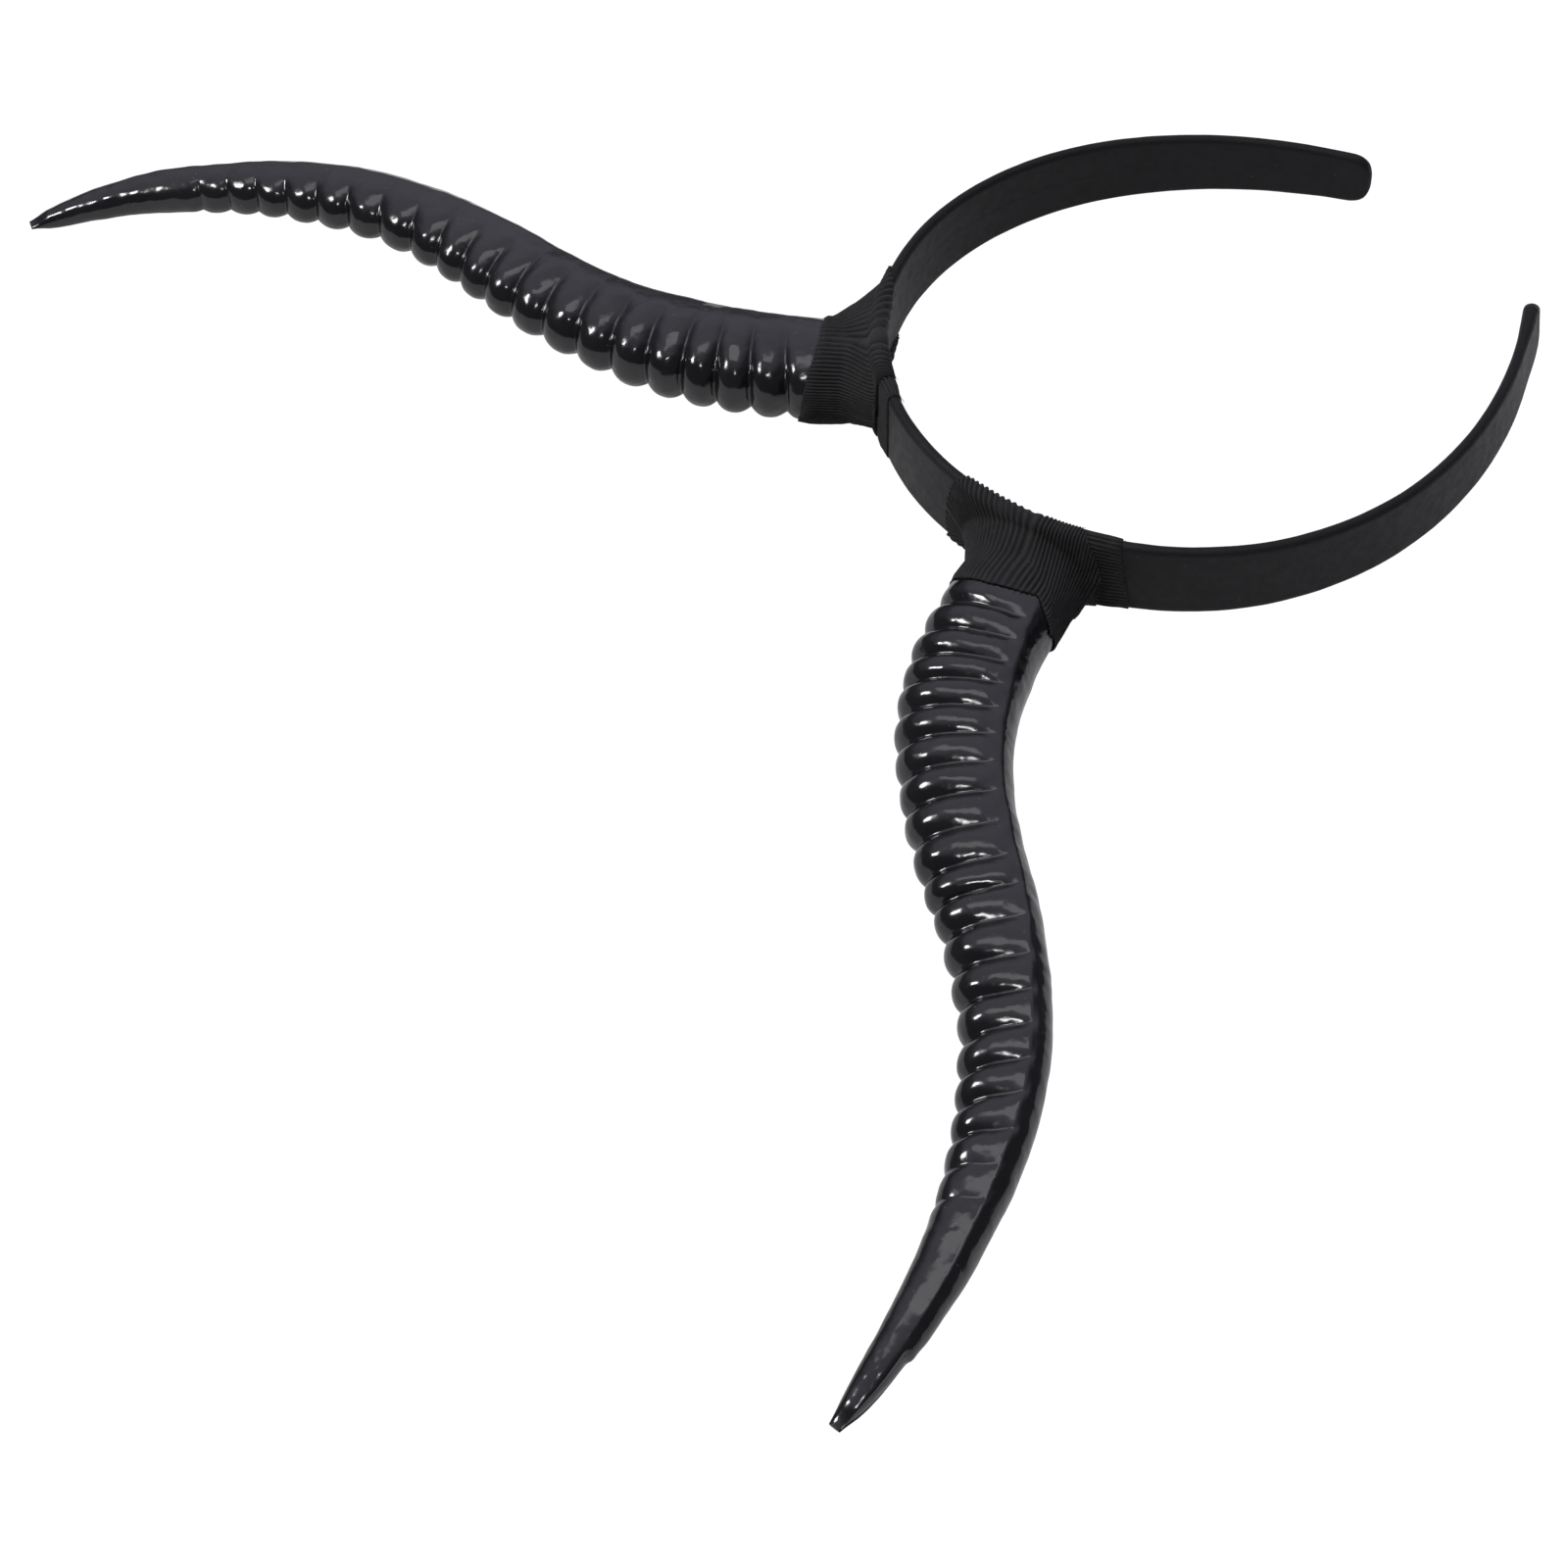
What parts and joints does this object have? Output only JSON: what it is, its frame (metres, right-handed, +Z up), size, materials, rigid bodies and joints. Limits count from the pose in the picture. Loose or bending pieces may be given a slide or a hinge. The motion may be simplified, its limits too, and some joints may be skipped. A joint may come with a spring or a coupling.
{
  "type": "antelope horn headband",
  "caption": "Costume headband: C-shaped satin-covered spring band with curved, ridged hollow horns bound on by ribbed ribbon wraps, worn on the head and shown lying flat.",
  "frame": {"origin": "middle of the base of the box around the headband as it lies on a flat surface", "axes": "+X from the left horn to the right horn, +Y from the horns towards the band's open ends, +Z up from the surface, across the band's width"},
  "size_m": [0.3558, 0.2706, 0.0268],
  "materials": {
    "band_satin": "matte black satin cloth glued over a spring core",
    "horn_plastic": "glossy black moulded plastic",
    "wrap_ribbon": "matte black ribbed ribbon"
  },
  "bodies": {
    "root": {"headband": "band_satin", "horn_left": "horn_plastic", "horn_right": "horn_plastic", "wrap_left": "wrap_ribbon", "wrap_right": "wrap_ribbon"}
  },
  "joints": []
}
